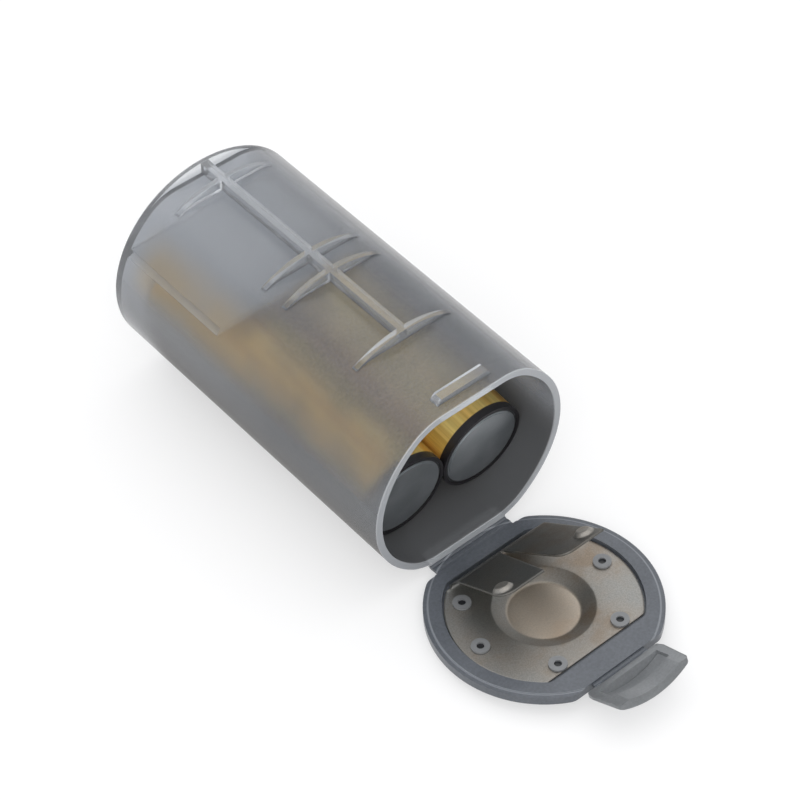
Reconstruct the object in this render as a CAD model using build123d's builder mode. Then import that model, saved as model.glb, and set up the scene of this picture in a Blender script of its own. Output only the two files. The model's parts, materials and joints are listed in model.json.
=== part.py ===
from build123d import *
from math import atan2, cos, hypot, radians, sin, sqrt
import os

# Battery size adapter: a D-size moulded case that holds two AA cells side by side,
# with an end cap on a film hinge, shown lying open.
# Millimetres. +Y runs along the case from its mouth to its closed end, and +Z is up.
# The origin is under the middle of the whole object, on the ground that it lies on.

# The two cells
cell_radius = 6.95
cell_length = 50.5
cell_gap = 0.1
cell_lean = 4.8
jacket_thickness = 0.15
jacket_lip = 0.5
jacket_shoulder = 1.4
cap_radius = 6.16
cap_thickness = 0.45
cap_step_radius = 5.85
cap_step = 0.08
seal_depth = 0.15
seal_clearance = 0.02
nub_radius = 2.75
nub_height = 1.3

# Case
wall = 1.0
cell_room = 1.5
bore_clearance = 0.05
case_length = 57.9
flat_depth = 1.82
flat_corner = 8.0
end_wall = 1.2
end_flange = 1.0
end_chamfer = 0.45
rib_thickness = 0.9
rib_insets = (43.8, 29.0, 24.5, 5.3)
long_rib_width = 1.3
long_rib_drop = 0.05
shelf_length = 20.3
shelf_thickness = 1.1
upper_shelf_room = 0.35
shelf_clearance = 0.05
catch_front = 1.7
catch_length = 1.6
catch_height = 0.92
catch_half_width = 4.7
catch_top_half_width = 4.0

# Positive contact in the closed end
button_radius = 4.6
button_height = 1.5
button_chamfer = 0.5
contact_thickness = 0.4
contact_overhang = 3.6
contact_width = 9.0
contact_bump_radius = 2.9
contact_bump_height = 0.35
contact_clearance = 0.05

# Film hinges
film_thickness = 0.4
film_gap = 0.25
hinge_half_width = 6.9
hinge_drop = 0.47
hinge_reach = 0.35
film_length = 1.35
lug_length = 1.5
lug_slope = 1.2
tab_film_length = 0.5
tab_film_half_width = 4.7

# End cap
lid_tilt = 4.3
lid_gap = 0.1
lid_inset = 0.09
lid_height = 1.7
lid_corner = 2.2
lid_chamfer = 0.3
rim_width = 2.6
rim_step = 0.15
rim_step_width = 0.7
pocket_hinge_flat = 11.7
pocket_latch_flat = 10.85
pocket_corner = 1.5

# Contact stamping held in the end cap
sheet = 0.3
plate_depth = 0.5
plate_clearance = 0.25
plate_latch_clearance = 0.7
plate_corner = 0.8
dish_radius = 7.5
dish_floor_radius = 5.05
dish_depth = 1.1
dish_clearance = 0.3
stake_places = ((5.7, 8.9), (11.2, -0.35), (7.9, -7.8))
stake_radius = 0.85
stake_clearance = 0.1
stake_head_radius = 1.3
stake_head_height = 0.35
stake_dimple_radius = 0.55
fold_inset = 0.25
fold_radius = 0.5
relief_width = 0.8
relief_depth = 0.9
upstand_fold_half_width = 7.0
upstand_half_width = 8.0
upstand_run = 3.06
upstand_rise = 4.1

# Spring arms
arm_angle = 30.7
arm_length = 12.2
arm_gap = 0.1
arm_slit = 0.6
arm_tip_inner = 1.8
arm_tip_outer = 9.0
arm_corner = 2.0
dimple_place = (7.3, 9.9)
dimple_radius = 1.5
dimple_height = 0.55
dimple_taper = 45

# Latch tab
tab_rest_angle = 23.7
tab_hinge_depth = 0.56
tab_clearance = 0.07
tab_length = 6.9
tab_half_width = 6.6
tab_outer_radius = 14.4
tab_wall = 1.25
tab_pocket_wall = 0.5
tab_catch_clearance = 0.13
tab_pocket_half_width = 5.2
tab_pocket_room = 0.76
tab_hook_clearance = 0.24
tab_corner = 0.6
tab_hinge_half_width = 6.3
tab_free_half_width = 6.2
tab_slant = 1.6

# Case sizes that follow from the cells
cell_offset = cell_radius + cell_gap / 2
bore_radius = cell_offset + cell_radius + bore_clearance + cell_room
case_radius = bore_radius + wall
flat_half = case_radius - flat_depth
bore_flat_half = flat_half - wall
inner_length = case_length - end_wall
shelf_front = inner_length - shelf_length
rib_places = [case_length - inset for inset in rib_insets]

# Hinge axis of the end cap, seen from the mouth's centre
hinge_depth = flat_half + hinge_drop
lid_radius = case_radius - lid_inset
rim_height = hinge_reach - lid_gap
lid_floor = rim_height - lid_height
tilt = radians(lid_tilt)

# Latch tab's hinge axis and catch, in the end cap's frame
tab_axis_reach = hinge_depth + flat_half + tab_clearance + film_thickness / 2
tab_axis_height = rim_height - tab_hinge_depth
lid_latch_edge = tab_axis_reach - tab_film_length
tab_pitch = radians(lid_tilt + tab_rest_angle)
catch_top = catch_height - tab_clearance - film_thickness / 2
catch_arc_drop = tab_outer_radius - sqrt(tab_outer_radius**2 - catch_top_half_width**2)
tab_top = catch_top + tab_catch_clearance + tab_pocket_wall + catch_arc_drop
tab_axis_to_mouth = hinge_reach - tab_axis_height
tab_pocket_start = catch_front + tab_axis_to_mouth - tab_pocket_room
tab_pocket_end = catch_front + catch_length + tab_axis_to_mouth + tab_hook_clearance

# Overall length at rest, which sets where the mouth lies from the origin
tab_axis_y = -hinge_reach - tab_axis_reach * cos(tilt) + tab_axis_height * sin(tilt)
tab_axis_z = -hinge_depth + tab_axis_reach * sin(tilt) + tab_axis_height * cos(tilt)
front_y = tab_axis_y - tab_length * cos(tab_pitch) - tab_top * sin(tab_pitch)
back_y = case_length + button_height
mouth_y = -(front_y + back_y) / 2


def sheet_plane(point, pitch):
    """A plane whose +Y climbs outwards from the mouth at this pitch, and whose +Z faces the case."""
    return Plane(origin=point, x_dir=(-1, 0, 0), z_dir=(0, sin(pitch), cos(pitch)))


mouth_plane = Plane(origin=(0, mouth_y, case_radius), x_dir=(-1, 0, 0), z_dir=(0, 1, 0))
case_side = Plane(origin=(0, mouth_y, case_radius), x_dir=(0, 1, 0), z_dir=(1, 0, 0))
lid_plane = sheet_plane((0, mouth_y - hinge_reach, case_radius - hinge_depth), tilt)
lid_centre_plane = sheet_plane(lid_plane.from_local_coords((0, hinge_depth, 0)), tilt)
lid_side = Plane(origin=lid_plane.origin, x_dir=lid_plane.y_dir, z_dir=(-1, 0, 0))
dish_side = Plane(origin=lid_centre_plane.origin, x_dir=lid_plane.y_dir, z_dir=(-1, 0, 0))
tab_plane = Plane(
    origin=(0, mouth_y + tab_axis_y, case_radius + tab_axis_z),
    x_dir=(-1, 0, 0),
    z_dir=(0, -cos(tab_pitch), sin(tab_pitch)),
)

tab_flat = Plane(origin=tab_plane.origin, x_dir=(1, 0, 0), z_dir=tab_plane.y_dir)

# Contact stamping in the end cap's frame
stakes = [(side * x, y) for side in (-1, 1) for x, y in stake_places]
plate_middle = rim_height - plate_depth - sheet / 2
plate_hinge_flat = pocket_hinge_flat - fold_inset
plate_latch_flat = pocket_latch_flat - plate_latch_clearance
fold_reliefs = [
    (side * (upstand_fold_half_width + relief_width / 2), -plate_hinge_flat) for side in (-1, 1)
]
fold_reach = hinge_depth - plate_hinge_flat
arm_root_reach = fold_reach + upstand_run
arm_root_height = plate_middle + upstand_rise
upstand_length = hypot(upstand_run, upstand_rise)
upstand_plane = sheet_plane(
    lid_plane.from_local_coords((0, fold_reach, plate_middle)),
    tilt + atan2(upstand_rise, upstand_run),
)
arm_plane = sheet_plane(
    lid_plane.from_local_coords((0, arm_root_reach, arm_root_height)),
    tilt + radians(arm_angle),
)

# Where the cells lie: the mouth end on the bore's floor, the closed end up between the shelves
lean = radians(cell_lean)
cell_drop = sqrt((bore_radius - bore_clearance - cell_radius) ** 2 - cell_offset**2)
nub_reach = cell_length * cos(lean) + nub_radius * sin(lean)
contact_front = inner_length - contact_thickness - contact_bump_height
cell_front = contact_front - contact_clearance - nub_reach
cell_back_height = cell_length * sin(lean) - cell_drop
cell_height_at_shelf = (shelf_front - cell_front) * sin(lean) / cos(lean) - cell_drop
upper_shelf_height = cell_back_height + cell_radius + upper_shelf_room
lower_shelf_height = cell_height_at_shelf - cell_radius / cos(lean) - shelf_clearance

# Case: round barrel with two flats, closed by a round flange
with BuildPart() as case:
    with BuildSketch(mouth_plane):
        Circle(case_radius)
        Rectangle(2 * case_radius, 2 * flat_half, mode=Mode.INTERSECT)
        fillet(vertices(), flat_corner)
    extrude(amount=case_length - end_flange)
    with BuildSketch(mouth_plane.offset(case_length - end_flange)):
        Circle(case_radius)
    extrude(amount=end_flange)
    chamfer(case.faces().sort_by(Axis.Y)[-1].edges(), end_chamfer)
    # Crescent ribs bring the flats back to the full round
    for rib_place in rib_places:
        with BuildSketch(mouth_plane.offset(rib_place - rib_thickness / 2)):
            Circle(case_radius)
            Rectangle(2 * case_radius, 2 * flat_half - wall, mode=Mode.SUBTRACT)
        extrude(amount=rib_thickness)
    # One long rib down the middle of each flat, across the crescents
    with BuildSketch(mouth_plane.offset(rib_places[0])):
        Rectangle(long_rib_width, 2 * (case_radius - long_rib_drop))
    extrude(amount=case_length - end_flange - rib_places[0])
    # Bore for the cells
    with BuildSketch(mouth_plane):
        Circle(bore_radius)
        Rectangle(2 * bore_radius, 2 * bore_flat_half, mode=Mode.INTERSECT)
        fillet(vertices(), flat_corner - wall)
    extrude(amount=inner_length, mode=Mode.SUBTRACT)
    # Shelves that hold the cells' positive ends
    with BuildSketch(mouth_plane.offset(shelf_front)):
        with Locations((0, upper_shelf_height + shelf_thickness / 2)):
            Rectangle(2 * bore_radius, shelf_thickness)
        with Locations((0, lower_shelf_height - shelf_thickness / 2)):
            Rectangle(2 * bore_radius, shelf_thickness)
        Circle(bore_radius + wall / 2, mode=Mode.INTERSECT)
    extrude(amount=inner_length + end_wall / 2 - shelf_front)
    # Hole for the positive button
    with BuildSketch(mouth_plane.offset(inner_length - end_wall)):
        Circle(button_radius + contact_clearance)
    extrude(amount=3 * end_wall, mode=Mode.SUBTRACT)
    # Catch bar on the upper flat, with slanted ends
    with BuildSketch(mouth_plane.offset(catch_front)):
        with BuildLine():
            Polyline(
                (-catch_half_width, flat_half - wall / 2),
                (-catch_half_width, flat_half),
                (-catch_top_half_width, flat_half + catch_height),
                (catch_top_half_width, flat_half + catch_height),
                (catch_half_width, flat_half),
                (catch_half_width, flat_half - wall / 2),
                close=True,
            )
        make_face()
    extrude(amount=catch_length)
    # Root of the end cap's film hinge under the mouth
    with BuildSketch(case_side):
        with BuildLine():
            Polyline(
                (0, -flat_half + wall / 2),
                (0, -hinge_depth - film_thickness / 2),
                (lug_length, -hinge_depth - film_thickness / 2),
                (lug_length + lug_slope, -flat_half),
                (lug_length + lug_slope, -flat_half + wall / 2),
                close=True,
            )
        make_face()
    extrude(amount=hinge_half_width, both=True)
case.part.label = "case"

# Positive contact: drawn button through the end wall, with a bar that both cells press on
with BuildPart() as positive_contact:
    with BuildSketch(mouth_plane.offset(inner_length)):
        with Locations((0, cell_back_height / 2)):
            RectangleRounded(
                2 * (cell_offset + contact_overhang),
                contact_width + abs(cell_back_height),
                contact_width / 3,
            )
    extrude(amount=-contact_thickness)
    with BuildSketch(mouth_plane.offset(inner_length - contact_thickness)):
        Circle(button_radius)
    extrude(amount=contact_thickness + end_wall + button_height)
    chamfer(positive_contact.faces().sort_by(Axis.Y)[-1].edges(), button_chamfer)
    with BuildSketch(mouth_plane.offset(inner_length - contact_thickness)):
        Circle(button_radius - contact_thickness)
    extrude(amount=end_wall + button_height, mode=Mode.SUBTRACT)
    with BuildSketch(mouth_plane.offset(inner_length - contact_thickness)):
        with Locations((cell_offset, cell_back_height), (-cell_offset, cell_back_height)):
            Circle(contact_bump_radius)
    extrude(amount=-contact_bump_height)
positive_contact.part.label = "positive_contact"

# End cap in its own tilted frame: local Y runs out from the hinge, local Z faces the case
with BuildPart() as lid:
    with BuildSketch(lid_centre_plane.offset(lid_floor)):
        Circle(lid_radius)
        with Locations((0, (film_length + lid_latch_edge) / 2 - hinge_depth)):
            Rectangle(2 * lid_radius, lid_latch_edge - film_length, mode=Mode.INTERSECT)
        fillet(vertices(), lid_corner)
    extrude(amount=lid_height)
    chamfer(lid.faces().sort_by(Axis(lid_plane.origin, lid_plane.z_dir))[0].edges(), lid_chamfer)
    # Low step round the rim's outside
    with BuildSketch(lid_centre_plane.offset(rim_height)):
        Circle(lid_radius + rim_step_width)
        Circle(lid_radius - rim_step_width, mode=Mode.SUBTRACT)
    extrude(amount=-rim_step, mode=Mode.SUBTRACT)
    # Pocket for the contact plate, and the hole that its dish comes through
    with BuildSketch(lid_centre_plane.offset(rim_height)):
        Circle(lid_radius - rim_width)
        with Locations((0, (pocket_latch_flat - pocket_hinge_flat) / 2)):
            Rectangle(2 * lid_radius, pocket_latch_flat + pocket_hinge_flat, mode=Mode.INTERSECT)
        fillet(vertices(), pocket_corner)
    extrude(amount=-plate_depth - sheet, mode=Mode.SUBTRACT)
    with BuildSketch(lid_centre_plane.offset(lid_floor)):
        Circle(dish_radius + dish_clearance)
    extrude(amount=lid_height, mode=Mode.SUBTRACT)
    # Stakes whose heads hold the plate down
    with BuildSketch(lid_centre_plane.offset(rim_height - plate_depth - sheet)):
        with Locations(*stakes):
            Circle(stake_radius)
    extrude(amount=sheet)
    with BuildSketch(lid_centre_plane.offset(rim_height - plate_depth)):
        with Locations(*stakes):
            Circle(stake_head_radius)
            Circle(stake_dimple_radius, mode=Mode.SUBTRACT)
    extrude(amount=stake_head_height)
    # Film to the case and film to the latch tab
    with BuildSketch(lid_side):
        with Locations(((film_gap + film_length) / 2 + lid_chamfer, 0)):
            Rectangle(film_length - film_gap + 2 * lid_chamfer, film_thickness)
    extrude(amount=hinge_half_width, both=True)
    with BuildSketch(lid_side):
        with Locations(((lid_latch_edge + tab_axis_reach - film_gap) / 2 - lid_chamfer, tab_axis_height)):
            Rectangle(tab_film_length - film_gap + 2 * lid_chamfer, film_thickness)
    extrude(amount=tab_film_half_width, both=True)
lid.part.label = "lid"

# Contact plate: flat sheet with the negative dish pressed through the cap and an upstand folded from it
with BuildPart() as contact_plate:
    with BuildSketch(lid_centre_plane.offset(rim_height - plate_depth - sheet)):
        Circle(lid_radius - rim_width - plate_clearance)
        with Locations((0, (plate_latch_flat - plate_hinge_flat) / 2)):
            Rectangle(2 * lid_radius, plate_latch_flat + plate_hinge_flat, mode=Mode.INTERSECT)
        fillet(vertices(), plate_corner)
        Circle(dish_radius, mode=Mode.SUBTRACT)
        with Locations(*stakes):
            Circle(stake_radius + stake_clearance, mode=Mode.SUBTRACT)
        with Locations(*fold_reliefs):
            Rectangle(relief_width, 2 * relief_depth, mode=Mode.SUBTRACT)
    extrude(amount=sheet)
    with BuildSketch(dish_side):
        with BuildLine():
            Polyline(
                (0, plate_middle - dish_depth),
                (dish_floor_radius, plate_middle - dish_depth),
                (dish_radius - sheet, plate_middle),
                (dish_radius + sheet, plate_middle),
            )
        trace(line_width=sheet)
    revolve(axis=Axis(dish_side.origin, lid_plane.z_dir))
    with BuildSketch(lid_side):
        with BuildLine():
            FilletPolyline(
                (fold_reach + 2 * fold_radius, plate_middle),
                (fold_reach, plate_middle),
                (arm_root_reach, arm_root_height),
                radius=fold_radius,
            )
        trace(line_width=sheet)
    extrude(amount=upstand_half_width, both=True)
    # Trim the upstand's sides, narrower at the fold
    with BuildSketch(upstand_plane.offset(-sheet)):
        for side in (-1, 1):
            with BuildLine():
                Polyline(
                    (side * upstand_fold_half_width, -2 * fold_radius),
                    (side * upstand_fold_half_width, fold_radius),
                    (side * upstand_half_width, upstand_length),
                    (side * lid_radius, upstand_length),
                    (side * lid_radius, -2 * fold_radius),
                    close=True,
                )
            make_face()
        # Round end of the slit between the arms
        with Locations((0, upstand_length)):
            Circle(arm_slit / 2)
    extrude(amount=3 * sheet, mode=Mode.SUBTRACT)
contact_plate.part.label = "contact_plate"


def arm_outline(side):
    """One arm's corners from root to tip: its side towards -X ends in a round corner."""
    inner = (side * arm_slit / 2, arm_gap)
    outer = (side * upstand_half_width, arm_gap)
    tip_outer = (side * arm_tip_outer, arm_length)
    tip_inner = (side * arm_tip_inner, arm_length)
    return inner, outer, tip_outer, tip_inner


# Spring arms: flat blades that rise towards the cells, each with a pressed dimple
arms = {}
for name, side in (("spring_arm_right", -1), ("spring_arm_left", 1)):
    with BuildPart() as arm:
        with BuildSketch(arm_plane.offset(-sheet / 2)) as blade:
            with BuildLine():
                Polyline(*arm_outline(side), close=True)
            make_face()
            fillet(blade.vertices().group_by(Axis.Y)[-1].sort_by(Axis.X)[-1], arm_corner)
        extrude(amount=sheet)
        with BuildSketch(arm_plane.offset(sheet / 2)):
            with Locations((side * dimple_place[0], dimple_place[1])):
                Circle(dimple_radius)
        extrude(amount=dimple_height, taper=dimple_taper)
        with BuildSketch(arm_plane.offset(-sheet / 2)):
            with Locations((side * dimple_place[0], dimple_place[1])):
                Circle(dimple_radius)
        extrude(amount=dimple_height, taper=dimple_taper, mode=Mode.SUBTRACT)
    arm.part.label = name
    arms[name] = arm.part

# Latch tab: an arched shell whose pocket drops over the catch bar
with BuildPart() as latch_tab:
    with BuildSketch(tab_plane.offset(film_gap)):
        with Locations((0, tab_top - tab_outer_radius)):
            Circle(tab_outer_radius)
        with Locations((0, (tab_top - film_thickness / 2) / 2)):
            Rectangle(2 * tab_half_width, tab_top + film_thickness / 2, mode=Mode.INTERSECT)
    extrude(amount=tab_length - film_gap)
    # Slanted ends with round corners, seen square to the tab
    with BuildSketch(tab_flat.offset(-film_thickness)) as tab_plan:
        with BuildLine():
            Polyline(
                (-tab_hinge_half_width, film_gap),
                (tab_hinge_half_width, film_gap),
                (tab_half_width, tab_slant),
                (tab_free_half_width, tab_length),
                (-tab_free_half_width, tab_length),
                (-tab_half_width, tab_slant),
                close=True,
            )
        make_face()
        fillet(tab_plan.vertices().group_by(Axis.Y)[-1], tab_corner)
        fillet(tab_plan.vertices().group_by(Axis.Y)[0], tab_corner)
    extrude(amount=2 * tab_outer_radius, mode=Mode.INTERSECT)
    # Hollow of the shell, open at its free edge
    with BuildSketch(tab_plane.offset(tab_pocket_start)):
        with Locations((0, tab_top - tab_outer_radius)):
            Circle(tab_outer_radius - tab_wall)
        with Locations((0, 0)):
            Rectangle(2 * tab_pocket_half_width, 2 * tab_top, mode=Mode.INTERSECT)
    extrude(amount=tab_length, mode=Mode.SUBTRACT)
    # Deeper pocket for the catch bar, whose far side is the hook
    with BuildSketch(tab_plane.offset(tab_pocket_start)):
        with Locations((0, tab_top - tab_outer_radius)):
            Circle(tab_outer_radius - tab_pocket_wall)
        with Locations((0, 0)):
            Rectangle(2 * tab_pocket_half_width, 2 * tab_top, mode=Mode.INTERSECT)
    extrude(amount=tab_pocket_end - tab_pocket_start, mode=Mode.SUBTRACT)
latch_tab.part.label = "latch_tab"

os.makedirs("parts", exist_ok=True)
export_step(case.part, "parts/case.step")
export_step(positive_contact.part, "parts/positive_contact.step")
export_step(lid.part, "parts/lid.step")
export_step(contact_plate.part, "parts/contact_plate.step")
export_step(latch_tab.part, "parts/latch_tab.step")
for name, arm_part in arms.items():
    export_step(arm_part, f"parts/{name}.step")

# Cells: sealed can with its nub, film jacket, seal ring and negative cap
for name, x in (("right", cell_offset), ("left", -cell_offset)):
    cell_plane = Plane(
        origin=(x, mouth_y + cell_front, case_radius - cell_drop),
        x_dir=(-1, 0, 0),
        z_dir=(0, cos(lean), sin(lean)),
    )
    can_radius = cell_radius - jacket_thickness
    can_length = cell_length - cap_thickness - nub_height
    with BuildPart() as can:
        with BuildSketch(cell_plane.offset(cap_thickness)):
            Circle(can_radius)
        extrude(amount=can_length)
        chamfer(can.faces().sort_by(Axis.Y)[-1].edges(), jacket_shoulder / 2)
        with BuildSketch(cell_plane.offset(cap_thickness + can_length)):
            Circle(nub_radius)
        extrude(amount=nub_height)
        chamfer(can.faces().sort_by(Axis.Y)[-1].edges(), nub_height / 4)
    with BuildPart() as jacket:
        with BuildSketch(cell_plane):
            Circle(cell_radius)
            Circle(can_radius, mode=Mode.SUBTRACT)
        extrude(amount=cell_length - nub_height - jacket_shoulder)
        with BuildSketch(cell_plane.offset(jacket_thickness)):
            Circle(cell_radius)
            Circle(cell_radius - jacket_lip, mode=Mode.SUBTRACT)
        extrude(amount=-jacket_thickness)
    with BuildPart() as seal_ring:
        with BuildSketch(cell_plane.offset(seal_depth)):
            Circle(cell_radius - jacket_lip - seal_clearance)
            Circle(cap_radius + seal_clearance, mode=Mode.SUBTRACT)
        extrude(amount=cap_thickness - seal_depth)
    with BuildPart() as negative_cap:
        with BuildSketch(cell_plane):
            Circle(cap_radius)
        extrude(amount=cap_thickness)
        with BuildSketch(cell_plane):
            Circle(cap_radius)
            Circle(cap_step_radius, mode=Mode.SUBTRACT)
        extrude(amount=cap_step, mode=Mode.SUBTRACT)
    for piece, built in (
        ("cell_can", can),
        ("cell_jacket", jacket),
        ("cell_seal", seal_ring),
        ("cell_negative_cap", negative_cap),
    ):
        built.part.label = f"{piece}_{name}"
        export_step(built.part, f"parts/{piece}_{name}.step")
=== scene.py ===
"""Battery size adapter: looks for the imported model, in metres, in the model's own frame."""
import json
import math

import bpy
import bmesh
from mathutils import Matrix, Vector


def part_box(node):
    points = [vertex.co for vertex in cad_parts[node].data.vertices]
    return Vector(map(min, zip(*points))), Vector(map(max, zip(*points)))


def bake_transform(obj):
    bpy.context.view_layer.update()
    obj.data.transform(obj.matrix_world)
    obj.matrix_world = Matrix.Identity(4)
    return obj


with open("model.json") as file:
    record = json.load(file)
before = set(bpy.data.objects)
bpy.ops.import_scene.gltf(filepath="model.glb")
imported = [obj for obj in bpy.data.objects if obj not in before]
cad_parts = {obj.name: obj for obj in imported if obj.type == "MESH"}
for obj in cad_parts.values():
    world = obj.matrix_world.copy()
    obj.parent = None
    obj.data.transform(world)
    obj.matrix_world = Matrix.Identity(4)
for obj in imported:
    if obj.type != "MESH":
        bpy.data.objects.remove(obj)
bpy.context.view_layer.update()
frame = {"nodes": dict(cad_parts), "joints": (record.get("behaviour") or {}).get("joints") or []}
nodes = frame["nodes"]
joints = {joint["name"]: joint for joint in frame["joints"]}

MM = 0.001


def up_at(pitch):
    """Square to a sheet that climbs outwards from the mouth at this pitch, and up."""
    return Vector((0.0, math.sin(pitch), math.cos(pitch)))


def outwards_at(pitch):
    """Outwards from the mouth along a sheet of this pitch."""
    return Vector((0.0, -math.cos(pitch), math.sin(pitch)))


# The case
case_low, case_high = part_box("case")
MOUTH_Y = case_low.y
AXIS_Z = (case_low.z + case_high.z) / 2
FLAT_HALF = 14.68 * MM
BORE_RADIUS = 15.5 * MM
BORE_END = MOUTH_Y + 56.6 * MM

# The joints' axes and the pitch of the pieces behind them
LID_AXIS = Vector(joints["lid_hinge"]["pos_m"])
TAB_AXIS = Vector(joints["latch_hinge"]["pos_m"])
ARM_AXIS = Vector(joints["arm_flex_right"]["pos_m"])
LID_PITCH = math.radians(4.3)
TAB_PITCH = math.radians(28.0)
UPSTAND_RUN, UPSTAND_RISE = 3.06, 4.1
UPSTAND_PITCH = LID_PITCH + math.atan2(UPSTAND_RISE, UPSTAND_RUN)
ARM_PITCH = LID_PITCH + math.radians(30.7)

# The end cap: its middle, the way up from it, and heights and radii from there
LID_CENTRE = Vector((0.0, MOUTH_Y - 15.457 * MM, 2.486 * MM))
LID_UP = up_at(LID_PITCH)
PLATE_TOP = -0.25 * MM
HOLE_WALL = -0.8 * MM
DISH_FACE = -1.35 * MM
DISH_FACE_RADIUS = 5.1 * MM
INNER_RADIUS = 13.95 * MM
RIM_EDGE_RADIUS = 15.7 * MM
STAKE_REACH = 12.7 * MM
STAKE_REACH_ALONG = 10.35 * MM

# Films, sheet and arms
FILM = 0.4 * MM
SHEET = 0.3 * MM
CASE_FILM_HALF_WIDTH = 6.93 * MM
TAB_FILM_HALF_WIDTH = 4.72 * MM
ARM_BEND_INNER, ARM_BEND_OUTER = 0.32 * MM, 7.93 * MM
DIMPLE_ASIDE, DIMPLE_ALONG = 7.3 * MM, 9.9 * MM
DIMPLE_EDGE = 1.45 * MM
ARM_DIMPLE = ARM_AXIS + Vector((DIMPLE_ASIDE, 0.0, 0.0)) + outwards_at(ARM_PITCH) * DIMPLE_ALONG

# The cells: axis from the middle of the negative end
CELL_LEAN = math.radians(4.8)
CELL_AXIS = Vector((0.0, math.cos(CELL_LEAN), math.sin(CELL_LEAN)))
CELL_FRONTS = {
    "right": Vector((7.0 * MM, MOUTH_Y + 5.347 * MM, AXIS_Z - 4.822 * MM)),
    "left": Vector((-7.0 * MM, MOUTH_Y + 5.347 * MM, AXIS_Z - 4.822 * MM)),
}

# Camera, as fitted to the photograph: target from the mouth's centre on the case's axis
CAMERA_AZIMUTH = math.radians(-40.917)
CAMERA_ELEVATION = math.radians(47.637)
CAMERA_ROLL = math.radians(0.386)
CAMERA_DISTANCE = 366.731 * MM
CAMERA_TARGET = Vector((2.003 * MM, MOUTH_Y + 16.861 * MM, AXIS_Z - 1.388 * MM))
CAMERA_LENS = 119.315
SENSOR_WIDTH = 36.0


def add_camera():
    azimuth, elevation, roll = CAMERA_AZIMUTH, CAMERA_ELEVATION, CAMERA_ROLL
    back = Vector((
        math.sin(azimuth) * math.cos(elevation),
        -math.cos(azimuth) * math.cos(elevation),
        math.sin(elevation),
    ))
    level_right = Vector((math.cos(azimuth), math.sin(azimuth), 0.0))
    level_up = back.cross(level_right)
    right = level_right * math.cos(roll) + level_up * math.sin(roll)
    up = level_up * math.cos(roll) - level_right * math.sin(roll)
    data = bpy.data.cameras.new("camera")
    data.lens = CAMERA_LENS
    data.sensor_width = SENSOR_WIDTH
    data.clip_start = 0.01
    data.clip_end = 10.0
    camera = bpy.data.objects.new("camera", data)
    bpy.context.scene.collection.objects.link(camera)
    turn = Matrix((right, up, back)).transposed().to_4x4()
    camera.matrix_world = Matrix.Translation(CAMERA_TARGET + back * CAMERA_DISTANCE) @ turn
    bpy.context.scene.camera = camera


# Node helpers

def new_material(name):
    """An empty node material with its output and one Principled shader."""
    material = bpy.data.materials.new(name)
    material.use_nodes = True
    tree = material.node_tree
    tree.nodes.clear()
    output = tree.nodes.new("ShaderNodeOutputMaterial")
    shader = tree.nodes.new("ShaderNodeBsdfPrincipled")
    tree.links.new(shader.outputs["BSDF"], output.inputs["Surface"])
    return material, tree, shader


def put(tree, socket, value):
    """Links value to the socket if it is an output, or sets it."""
    if isinstance(value, bpy.types.NodeSocket):
        tree.links.new(value, socket)
    else:
        socket.default_value = value


def math_node(tree, operation, first, second=0.0):
    node = tree.nodes.new("ShaderNodeMath")
    node.operation = operation
    put(tree, node.inputs[0], first)
    put(tree, node.inputs[1], second)
    return node.outputs[0]


def product(tree, value, *factors):
    """The value times each factor in turn."""
    for factor in factors:
        value = math_node(tree, "MULTIPLY", value, factor)
    return value


def vector_node(tree, operation, first, second=(0.0, 0.0, 0.0), output="Vector"):
    node = tree.nodes.new("ShaderNodeVectorMath")
    node.operation = operation
    put(tree, node.inputs[0], first)
    put(tree, node.inputs[1], second)
    return node.outputs[output]


def model_place(tree):
    """The place at rest in the model's own coordinates."""
    return tree.nodes.new("ShaderNodeTexCoord").outputs["Object"]


def split_place(tree, place):
    node = tree.nodes.new("ShaderNodeSeparateXYZ")
    tree.links.new(place, node.inputs[0])
    return node.outputs["X"], node.outputs["Y"], node.outputs["Z"]


def noise(tree, scale, detail=3.0, roughness=0.5, place=None, turn=None, stretch=None):
    """Noise in waves per metre over the model's own coordinates, turned and then stretched."""
    place = place or model_place(tree)
    for kind, value in (("Rotation", turn), ("Scale", stretch)):
        if value is not None:
            mapping = tree.nodes.new("ShaderNodeMapping")
            mapping.inputs[kind].default_value = value
            tree.links.new(place, mapping.inputs["Vector"])
            place = mapping.outputs["Vector"]
    texture = tree.nodes.new("ShaderNodeTexNoise")
    texture.inputs["Scale"].default_value = scale
    texture.inputs["Detail"].default_value = detail
    texture.inputs["Roughness"].default_value = roughness
    tree.links.new(place, texture.inputs["Vector"])
    return texture.outputs["Fac"]


def ramp(tree, value, stops):
    """A colour ramp over value, with stops of (place, colour)."""
    node = tree.nodes.new("ShaderNodeValToRGB")
    elements = node.color_ramp.elements
    while len(elements) < len(stops):
        elements.new(0.5)
    for element, (place, colour) in zip(elements, stops):
        element.position = place
        element.color = (*colour, 1.0)
    tree.links.new(value, node.inputs["Fac"])
    return node.outputs["Color"]


def mix_colour(tree, factor, first, second, blend="MIX"):
    node = tree.nodes.new("ShaderNodeMix")
    node.data_type = "RGBA"
    node.blend_type = blend
    put(tree, node.inputs[0], factor)
    for socket, value in ((node.inputs[6], first), (node.inputs[7], second)):
        put(tree, socket, value if isinstance(value, bpy.types.NodeSocket) else (*value, 1.0))
    return node.outputs[2]


def value_range(tree, value, low, high, from_low=0.0, from_high=1.0, smooth=False):
    """Maps value from its own range to the range from low to high."""
    node = tree.nodes.new("ShaderNodeMapRange")
    if smooth:
        node.interpolation_type = "SMOOTHSTEP"
    for name, number in (
        ("From Min", from_low), ("From Max", from_high), ("To Min", low), ("To Max", high),
    ):
        node.inputs[name].default_value = number
    tree.links.new(value, node.inputs["Value"])
    return node.outputs["Result"]


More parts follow.
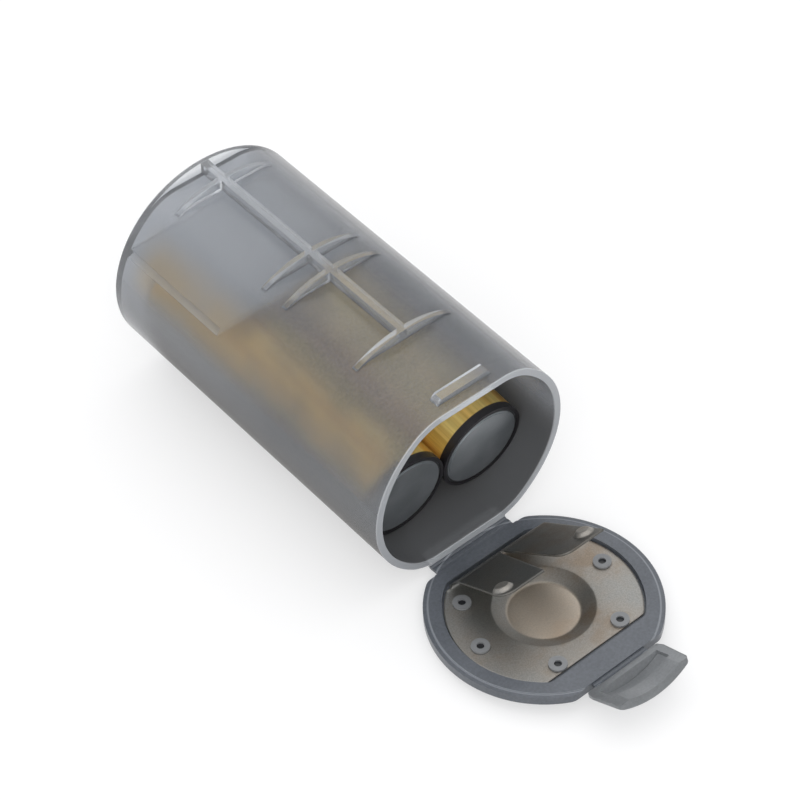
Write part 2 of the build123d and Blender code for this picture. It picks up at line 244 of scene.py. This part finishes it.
def between(tree, value, start, full, low, end):
    """1 from full to low, and 0 before start and after end."""
    rise = value_range(tree, value, 0.0, 1.0, start, full, smooth=True)
    fall = value_range(tree, value, 1.0, 0.0, low, end, smooth=True)
    return product(tree, rise, fall)


def radius_from(tree, place, centre, weights):
    """Distance of place from a line through centre, with weights of 0 along the line."""
    offset = vector_node(tree, "SUBTRACT", place, tuple(centre))
    return vector_node(tree, "LENGTH", vector_node(tree, "MULTIPLY", offset, weights), output="Value")


def height_over_lid(tree, place):
    """Height of place over the end cap's middle, square to the open cap."""
    offset = vector_node(tree, "SUBTRACT", place, tuple(LID_CENTRE))
    return vector_node(tree, "DOT_PRODUCT", offset, tuple(LID_UP), output="Value")


def bump(tree, shader, height, strength, distance, edge=None):
    """Bump from height, over edges rounded by the edge radius if there is one."""
    node = tree.nodes.new("ShaderNodeBump")
    if edge:
        bevel = tree.nodes.new("ShaderNodeBevel")
        bevel.samples = 6
        bevel.inputs["Radius"].default_value = edge
        tree.links.new(bevel.outputs["Normal"], node.inputs["Normal"])
    node.inputs["Strength"].default_value = strength
    node.inputs["Distance"].default_value = distance
    tree.links.new(height, node.inputs["Height"])
    tree.links.new(node.outputs["Normal"], shader.inputs["Normal"])


# Materials

PLASTIC_IOR = 1.49
LIT_PLASTIC = (0.93, 0.95, 0.97)
DARK_PLASTIC = (0.02, 0.021, 0.024)


def frosted_plastic(name, dark, light, transmission, roughness, grain_depth):
    """Clouded, grained translucent plastic; returns its parts for more to be laid over it."""
    material, tree, shader = new_material(name)
    cloud = noise(tree, 110.0, detail=4.0)
    colour = ramp(tree, cloud, ((0.3, dark), (0.7, light)))
    grain = noise(tree, 2600.0, detail=4.0)
    speck = ramp(tree, grain, ((0.3, (0.76, 0.76, 0.76)), (0.7, (1.0, 1.0, 1.0))))
    colour = mix_colour(tree, 1.0, colour, speck, "MULTIPLY")
    tree.links.new(colour, shader.inputs["Base Color"])
    grained = value_range(tree, grain, roughness - 0.04, roughness + 0.04)
    tree.links.new(grained, shader.inputs["Roughness"])
    bump(tree, shader, grain, grain_depth, 0.00004)
    shader.inputs["IOR"].default_value = PLASTIC_IOR
    shader.inputs["Transmission Weight"].default_value = transmission
    return material, tree, shader, colour


def case_finish():
    """Frosted moulding, with painted light where it is thick and towards the closed end, a painted warm
    glow of the cells and painted shade under them.
    """
    dark, light = (0.46, 0.48, 0.515), (0.55, 0.57, 0.605)
    transmission = 0.88
    material, tree, shader, colour = frosted_plastic(
        "case_plastic", dark, light, transmission, roughness=0.235, grain_depth=0.07,
    )
    place = model_place(tree)
    x, y, z = split_place(tree, place)
    rise = math_node(tree, "SUBTRACT", z, AXIS_Z)
    height = math_node(tree, "ABSOLUTE", rise)
    turn = math_node(tree, "ARCTAN2", rise, math_node(tree, "ABSOLUTE", x))
    radius = radius_from(tree, place, (0.0, 0.0, AXIS_Z), (1.0, 0.0, 1.0))

    def along(from_mouth, to_mouth, low=1.0, high=0.0):
        start, end = MOUTH_Y + from_mouth * MM, MOUTH_Y + to_mouth * MM
        return value_range(tree, y, low, high, start, end, smooth=True)

    # Painted light: paler towards the closed end
    colour = mix_colour(tree, along(18.0, 46.0, 0.0, 0.8), colour, (0.66, 0.68, 0.71))
    # Painted glow: where the cells lie near the wall, their warm colour seen through it is painted into the
    # wall's colour
    blotch = value_range(tree, noise(tree, 90.0, detail=3.0), 0.4, 1.0, 0.35, 0.6)
    over_cell = between(
        tree, y, MOUTH_Y, MOUTH_Y + 5.0 * MM, MOUTH_Y + 51.0 * MM, MOUTH_Y + 56.0 * MM,
    )
    warm = product(tree, between(tree, turn, 0.1, 0.42, 0.6, 0.95), blotch, over_cell)
    colour = mix_colour(tree, warm, colour, (0.67, 0.595, 0.485))
    # Under the cells it is in their shade
    under_cells = value_range(tree, turn, 1.0, 0.0, -0.4, 0.35, smooth=True)
    shade = product(tree, under_cells, along(46.0, 57.0))
    colour = mix_colour(tree, shade, colour, (0.128, 0.122, 0.116))
    # Painted shade: the flank on the side of +x is painted greyer than the other
    right = value_range(tree, x, 0.0, 0.85, -2.0 * MM, 2.0 * MM)
    flank = product(tree, between(tree, turn, -0.1, 0.4, 0.7, 1.1), right)
    colour = mix_colour(tree, flank, colour, (0.29, 0.30, 0.32))
    # Painted light: the ribs, the catch bar and the mouth's edge, where the plastic is thick, are painted
    # paler
    low_rib, high_rib = FLAT_HALF + 0.02 * MM, FLAT_HALF + 0.45 * MM
    over_flat = value_range(tree, height, 0.0, 0.85, low_rib, high_rib, smooth=True)
    mouth_edge = along(0.05, 0.35)
    thick = math_node(tree, "MAXIMUM", over_flat, mouth_edge)
    pale = mix_colour(tree, mouth_edge, LIT_PLASTIC, (0.55, 0.57, 0.60))
    colour = mix_colour(tree, thick, colour, pale)
    # The floor of the bore is in the cells' shade
    before_end = math_node(tree, "LESS_THAN", y, BORE_END)
    in_bore = math_node(tree, "LESS_THAN", radius, BORE_RADIUS + 0.4 * MM)
    under_flat = math_node(tree, "LESS_THAN", height, FLAT_HALF - 0.5 * MM)
    low = value_range(tree, z, 1.0, 0.0, AXIS_Z - 6.0 * MM, AXIS_Z + 9.0 * MM, smooth=True)
    behind_edge = math_node(tree, "SUBTRACT", 1.0, mouth_edge)
    inside = product(tree, in_bore, before_end, under_flat, low, behind_edge)
    colour = mix_colour(tree, inside, colour, (0.115, 0.118, 0.123))
    # The shelf over the cells' far ends catches the light that comes through the wall
    off_wall = math_node(tree, "LESS_THAN", radius, BORE_RADIUS - 0.05 * MM)
    off_flat = math_node(tree, "LESS_THAN", height, FLAT_HALF - 2.7 * MM)
    above = math_node(tree, "GREATER_THAN", z, AXIS_Z + 5.0 * MM)
    shelf = product(tree, off_wall, before_end, off_flat, above)
    tree.links.new(mix_colour(tree, shelf, colour, LIT_PLASTIC), shader.inputs["Base Color"])
    # Less clear where it is shaded or thick
    solid = math_node(tree, "MAXIMUM", inside, product(tree, mouth_edge, 0.8))
    solid = math_node(tree, "MAXIMUM", solid, product(tree, shade, 0.6))
    clear = math_node(tree, "SUBTRACT", 1.0, math_node(tree, "MAXIMUM", solid, shelf))
    tree.links.new(value_range(tree, clear, 0.25, transmission), shader.inputs["Transmission Weight"])
    tree.links.new(value_range(tree, shade, 0.3, 0.06), shader.inputs["Specular IOR Level"])
    tree.links.new(value_range(tree, shade, PLASTIC_IOR, 1.15), shader.inputs["IOR"])
    return material


def cap_plastic():
    """The end cap: painted highlights on the stakes' rings and the rim's edge, painted shade in the dimples
    and the hole.
    """
    dark, light = (0.118, 0.131, 0.152), (0.16, 0.174, 0.197)
    material, tree, shader, colour = frosted_plastic(
        "lid_plastic", dark, light, transmission=0.25, roughness=0.3, grain_depth=0.25,
    )
    place = model_place(tree)
    height = height_over_lid(tree, place)
    radius = radius_from(tree, place, LID_CENTRE, (1.0, 1.0, 0.0))
    along = split_place(tree, vector_node(tree, "SUBTRACT", place, tuple(LID_CENTRE)))[1]
    # Painted highlight: a pale line along the rim's edge
    rim_highlight = between(tree, radius, *(RIM_EDGE_RADIUS + step * MM for step in (-0.15, 0.0, 0.05, 0.25)))
    rim_highlight = product(tree, rim_highlight, math_node(tree, "GREATER_THAN", height, 0.0))
    colour = mix_colour(tree, rim_highlight, colour, (0.30, 0.32, 0.35))
    # Painted shade: a dark band on the wall of the dish's hole, under the plate
    inner = math_node(tree, "LESS_THAN", radius, INNER_RADIUS)
    hole_shade_band = between(tree, height, *(HOLE_WALL + step * MM for step in (-0.06, -0.04, 0.04, 0.2)))
    colour = mix_colour(tree, product(tree, inner, hole_shade_band), colour, DARK_PLASTIC)
    # The stakes' heads over the plate: a painted highlight on their rings and painted shade in their
    # dimples
    near = math_node(tree, "LESS_THAN", radius, STAKE_REACH)
    short = math_node(tree, "LESS_THAN", math_node(tree, "ABSOLUTE", along), STAKE_REACH_ALONG)
    on_plate = product(tree, near, short)
    head = product(tree, on_plate, math_node(tree, "GREATER_THAN", height, PLATE_TOP - 0.04 * MM))
    ring = product(tree, on_plate, math_node(tree, "GREATER_THAN", height, PLATE_TOP + 0.05 * MM))
    stakes = mix_colour(tree, ring, DARK_PLASTIC, (0.25, 0.257, 0.265))
    tree.links.new(mix_colour(tree, head, colour, stakes), shader.inputs["Base Color"])
    return material


def tab_plastic():
    """The latch tab: the cap's plastic where it is thin, clearer, and painted paler for the light that
    comes through it.
    """
    dark, light = (0.30, 0.315, 0.33), (0.38, 0.395, 0.41)
    return frosted_plastic(
        "tab_plastic", dark, light, transmission=0.6, roughness=0.3, grain_depth=0.2,
    )[0]


def nickel_sheet():
    """Plated sheet: warm grey with brown stains and a fine grain, painted light on the dish's face, and
    painted shade on the folded arms.
    """
    material, tree, shader = new_material("nickel")
    place = model_place(tree)
    height = height_over_lid(tree, place)
    stain = noise(tree, 110.0, detail=5.0, roughness=0.6)
    colour = ramp(tree, stain, (
        (0.36, (0.36, 0.36, 0.345)),
        (0.54, (0.385, 0.36, 0.325)),
        (0.68, (0.35, 0.29, 0.23)),
    ))
    speck = noise(tree, 5200.0, detail=2.0)
    grain = ramp(tree, speck, ((0.3, (0.78, 0.78, 0.78)), (0.7, (1.0, 1.0, 1.0))))
    colour = mix_colour(tree, 1.0, colour, grain, "MULTIPLY")
    # Painted light: the dish's inner face is painted brighter
    radius = radius_from(tree, place, LID_CENTRE, (1.0, 1.0, 0.0))
    low_radius, high_radius = DISH_FACE_RADIUS - 0.2 * MM, DISH_FACE_RADIUS + 0.2 * MM
    in_dish = value_range(tree, radius, 1.0, 0.0, low_radius, high_radius)
    on_face = between(tree, height, *(DISH_FACE + step * MM for step in (-0.15, -0.1, 0.45, 0.55)))
    dish_light = mix_colour(tree, 1.0, colour, (1.0, 0.92, 0.84), "MULTIPLY")
    dish_light = mix_colour(tree, 1.0, dish_light, (0.31, 0.275, 0.23), "ADD")
    colour = mix_colour(tree, product(tree, in_dish, on_face), colour, dish_light)
    # Painted shade and dark reflection on the upstand and the arms, left off the arms' dimples, which stay
    # bright
    raised = value_range(tree, height, 0.0, 1.0, 0.0, 1.2 * MM, smooth=True)
    outside = math_node(tree, "LESS_THAN", split_place(tree, place)[1], MOUTH_Y)
    one_side = vector_node(tree, "ABSOLUTE", place)
    dimple = tuple(abs(value) for value in ARM_DIMPLE)
    to_dimple = vector_node(tree, "DISTANCE", one_side, dimple, output="Value")
    low_edge, high_edge = DIMPLE_EDGE - 0.15 * MM, DIMPLE_EDGE + 0.15 * MM
    flat_arm = value_range(tree, to_dimple, 0.0, 1.0, low_edge, high_edge, smooth=True)
    folded = mix_colour(tree, 1.0, colour, (0.47, 0.48, 0.48), "MULTIPLY")
    colour = mix_colour(tree, product(tree, raised, outside, flat_arm), colour, folded)
    tree.links.new(colour, shader.inputs["Base Color"])
    tree.links.new(value_range(tree, stain, 0.42, 0.56), shader.inputs["Roughness"])
    bump(tree, shader, speck, 0.25, 0.00002, edge=0.4 * MM)
    shader.inputs["Metallic"].default_value = 1.0
    return material


def steel_finish():
    """The cells' cans and discs: dull steel in soft patches."""
    material, tree, shader = new_material("steel")
    patches = noise(tree, 200.0, detail=4.0)
    speck = noise(tree, 4200.0, detail=3.0)
    colour = ramp(tree, patches, ((0.3, (0.32, 0.345, 0.365)), (0.7, (0.43, 0.455, 0.475))))
    tree.links.new(colour, shader.inputs["Base Color"])
    tree.links.new(value_range(tree, speck, 0.36, 0.5), shader.inputs["Roughness"])
    bump(tree, shader, speck, 0.3, 0.00002)
    shader.inputs["Metallic"].default_value = 0.9
    return material


def jacket_finish(side):
    """Gold film with painted reflection streaks along the cell, with a printed black band at the negative
    end.
    """
    material, tree, shader = new_material(f"gold_film_{side}")
    place = model_place(tree)
    from_end = vector_node(tree, "SUBTRACT", place, tuple(CELL_FRONTS[side]))
    along = vector_node(tree, "DOT_PRODUCT", from_end, tuple(CELL_AXIS), output="Value")
    band = value_range(tree, along, 1.0, 0.0, 1.15 * MM, 1.25 * MM)
    turn = (-CELL_LEAN, 0.0, 0.0)
    streak = noise(
        tree, 1500.0, detail=4.0, roughness=0.7, place=from_end, turn=turn, stretch=(1.0, 0.02, 1.0),
    )
    broad = noise(tree, 330.0, detail=1.0, place=from_end, turn=turn, stretch=(1.0, 0.03, 1.0))
    gold = ramp(tree, broad, (
        (0.35, (0.80, 0.48, 0.11)),
        (0.5, (1.0, 0.78, 0.27)),
        (0.68, (0.88, 0.56, 0.15)),
    ))
    # Painted reflection: streaks along the cell in the film's colour; its roughness varies along them too
    streak_sheen = ramp(tree, streak, ((0.3, (0.66, 0.62, 0.54)), (0.62, (1.0, 1.0, 1.0))))
    gold_with_sheen = mix_colour(tree, 1.0, gold, streak_sheen, "MULTIPLY")
    tree.links.new(mix_colour(tree, band, gold_with_sheen, (0.012, 0.011, 0.013)), shader.inputs["Base Color"])
    tree.links.new(value_range(tree, streak, 0.36, 0.5), shader.inputs["Roughness"])
    tree.links.new(value_range(tree, band, 0.75, 0.0), shader.inputs["Metallic"])
    return material


def black_finish():
    """The cells' seal rings."""
    material, tree, shader = new_material("black_seal")
    grain = noise(tree, 900.0)
    colour = ramp(tree, grain, ((0.3, DARK_PLASTIC), (0.7, (0.045, 0.047, 0.05))))
    tree.links.new(colour, shader.inputs["Base Color"])
    tree.links.new(value_range(tree, grain, 0.35, 0.45), shader.inputs["Roughness"])
    return material


def dress(node_names, material):
    """Gives CAD nodes their only material."""
    for name in node_names:
        piece = nodes[name]
        piece.data.materials.clear()
        piece.data.materials.append(material)


case_plastic = case_finish()
lid_plastic = cap_plastic()
latch_plastic = tab_plastic()
nickel = nickel_sheet()
steel = steel_finish()
black = black_finish()


def dress_cad_nodes():
    dress(["case"], case_plastic)
    dress(["lid"], lid_plastic)
    dress(["latch_tab"], latch_plastic)
    contacts = ["contact_plate", "spring_arm_right", "spring_arm_left", "positive_contact"]
    dress(contacts, nickel)
    for side in ("right", "left"):
        dress([f"cell_can_{side}"], steel)
        dress([f"cell_jacket_{side}"], jacket_finish(side))
        dress([f"cell_seal_{side}"], black)
        dress([f"cell_negative_cap_{side}"], steel)


# Bends across the joints

def bar_along_x(name, outline, x_low, x_high, material, steps=8):
    """A closed bar from an outline of (y, z) points, in order round it, run from x_low to x_high."""
    mesh = bpy.data.meshes.new(name)
    build = bmesh.new()
    rings = []
    for step in range(steps + 1):
        x = x_low + (x_high - x_low) * step / steps
        rings.append([build.verts.new((x, y, z)) for y, z in outline])
    count = len(outline)
    for ring, after in zip(rings, rings[1:]):
        for index in range(count):
            following = (index + 1) % count
            build.faces.new((ring[index], ring[following], after[following], after[index]))
    build.faces.new(rings[0])
    build.faces.new(rings[-1])
    bmesh.ops.recalc_face_normals(build, faces=build.faces)
    build.to_mesh(mesh)
    build.free()
    piece = bpy.data.objects.new(name, mesh)
    bpy.context.scene.collection.objects.link(piece)
    mesh.materials.append(material)
    return piece


def film_outline(axis, pitch, before, after, thickness, grooves):
    """A strap round a fold: level before the axis, at this pitch after it, with grooves in its top face."""
    level = (-1.0, 0.0)
    tilted = (-math.cos(pitch), math.sin(pitch))

    def at(distance, height):
        along, up = (level, (0.0, 1.0)) if distance < 0 else (tilted, (math.sin(pitch), math.cos(pitch)))
        return (
            axis.y + along[0] * distance + up[0] * height,
            axis.z + along[1] * distance + up[1] * height,
        )

    count = 24
    places = [-before + (before + after) * step / count for step in range(count + 1)]

    def top(distance):
        depth = sum(d * max(0.0, 1.0 - abs(distance - c) / w) for c, d, w in grooves)
        return thickness / 2 - depth

    upper = [at(distance, top(distance)) for distance in places]
    lower = [at(distance, -thickness / 2) for distance in reversed(places)]
    return upper + lower


def bent_outline(stations, half):
    """A strap of this half thickness through stations of (point, up)."""
    upper = [point + up * half for point, up in stations]
    lower = [point - up * half for point, up in reversed(stations)]
    return [(point.y, point.z) for point in upper + lower]


def add_case_film():
    """Living hinge between the case and the end cap, with its fold line in the middle."""
    grooves = ((0.05 * MM, 0.14 * MM, 0.28 * MM), (1.05 * MM, 0.10 * MM, 0.25 * MM))
    outline = film_outline(LID_AXIS, LID_PITCH, 0.45 * MM, 1.5 * MM, FILM + 0.06 * MM, grooves)
    half_width = CASE_FILM_HALF_WIDTH
    strap = bar_along_x("lid_film_hinge", outline, -half_width, half_width, lid_plastic, steps=24)
    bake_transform(strap)


def add_tab_film():
    """Living hinge between the end cap and the latch tab."""
    axis = TAB_AXIS
    half = FILM / 2 + 0.02 * MM
    lid_way, tab_way = -outwards_at(LID_PITCH), outwards_at(TAB_PITCH)
    stations = [(axis + lid_way * distance * MM, LID_UP) for distance in (0.42, 0.3, 0.2, 0.1)]
    stations += [(axis + tab_way * distance * MM, up_at(TAB_PITCH)) for distance in (0.1, 0.2, 0.3, 0.42)]
    outline = bent_outline(stations, half)
    half_width = TAB_FILM_HALF_WIDTH
    strap = bar_along_x("tab_film_hinge", outline, -half_width, half_width, lid_plastic, steps=16)
    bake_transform(strap)


def add_arm_bends():
    """The bend where each spring arm leaves the plate's upstand."""
    half = SHEET / 2 + 0.012 * MM
    root_way, root_up = -outwards_at(UPSTAND_PITCH), up_at(UPSTAND_PITCH)
    arm_way, arm_up = outwards_at(ARM_PITCH), up_at(ARM_PITCH)
    stations = [(ARM_AXIS + root_way * distance * MM, root_up) for distance in (0.25, 0.14)]
    stations.append((ARM_AXIS, (root_up + arm_up).normalized()))
    stations += [(ARM_AXIS + arm_way * distance * MM, arm_up) for distance in (0.14, 0.25)]
    outline = bent_outline(stations, half)
    for side, sign in (("right", 1), ("left", -1)):
        low, high = sorted((sign * ARM_BEND_INNER, sign * ARM_BEND_OUTER))
        bend = bar_along_x(f"arm_bend_{side}", outline, low, high, nickel)
        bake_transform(bend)


# Stage

def add_floor():
    """A white floor for the picture, which isn't part of the model."""
    mesh = bpy.data.meshes.new("floor")
    half = 1.5
    corners = [(-half, -half, 0), (half, -half, 0), (half, half, 0), (-half, half, 0)]
    mesh.from_pydata(corners, [], [(0, 1, 2, 3)])
    floor = bpy.data.objects.new("floor", mesh)
    bpy.context.scene.collection.objects.link(floor)
    floor.location.z = -0.0001
    material, tree, shader = new_material("floor")
    # White to look at, and less bright in the light that it throws back
    rays = tree.nodes.new("ShaderNodeLightPath")
    shown = mix_colour(tree, rays.outputs["Is Diffuse Ray"], (0.92, 0.92, 0.92), (0.5, 0.5, 0.5))
    tree.links.new(shown, shader.inputs["Base Color"])
    shader.inputs["Roughness"].default_value = 0.9
    # Half of what is seen of it is plain white, so that the shadow stays light
    white = tree.nodes.new("ShaderNodeEmission")
    white.inputs["Strength"].default_value = 1.0
    mix = tree.nodes.new("ShaderNodeMixShader")
    tree.links.new(value_range(tree, rays.outputs["Is Diffuse Ray"], 0.5, 0.0), mix.inputs["Fac"])
    tree.links.new(shader.outputs["BSDF"], mix.inputs[1])
    tree.links.new(white.outputs["Emission"], mix.inputs[2])
    tree.links.new(mix.outputs["Shader"], tree.nodes["Material Output"].inputs["Surface"])
    floor.data.materials.append(material)


def add_area_lamp(name, place, target, size, power):
    data = bpy.data.lights.new(name, "AREA")
    data.shape = "DISK"
    data.size = size
    data.energy = power
    lamp = bpy.data.objects.new(name, data)
    bpy.context.scene.collection.objects.link(lamp)
    lamp.location = place
    lamp.rotation_euler = (Vector(target) - Vector(place)).to_track_quat("-Z", "Y").to_euler()


def add_world():
    world = bpy.data.worlds.new("studio")
    world.use_nodes = True
    background = world.node_tree.nodes["Background"]
    background.inputs["Color"].default_value = (0.98, 0.985, 1.0, 1.0)
    background.inputs["Strength"].default_value = 0.87
    bpy.context.scene.world = world


def add_lights():
    target = (0.0, 0.0, AXIS_Z)
    add_area_lamp("key", (0.05, 0.2, 0.75), target, 1.2, 2.0)
    add_area_lamp("fill", (-0.35, -0.4, 0.5), target, 0.5, 1.5)


add_camera()
dress_cad_nodes()
add_case_film()
add_tab_film()
add_arm_bends()
add_floor()
add_world()
add_lights()
bpy.context.scene.view_settings.view_transform = "Standard"
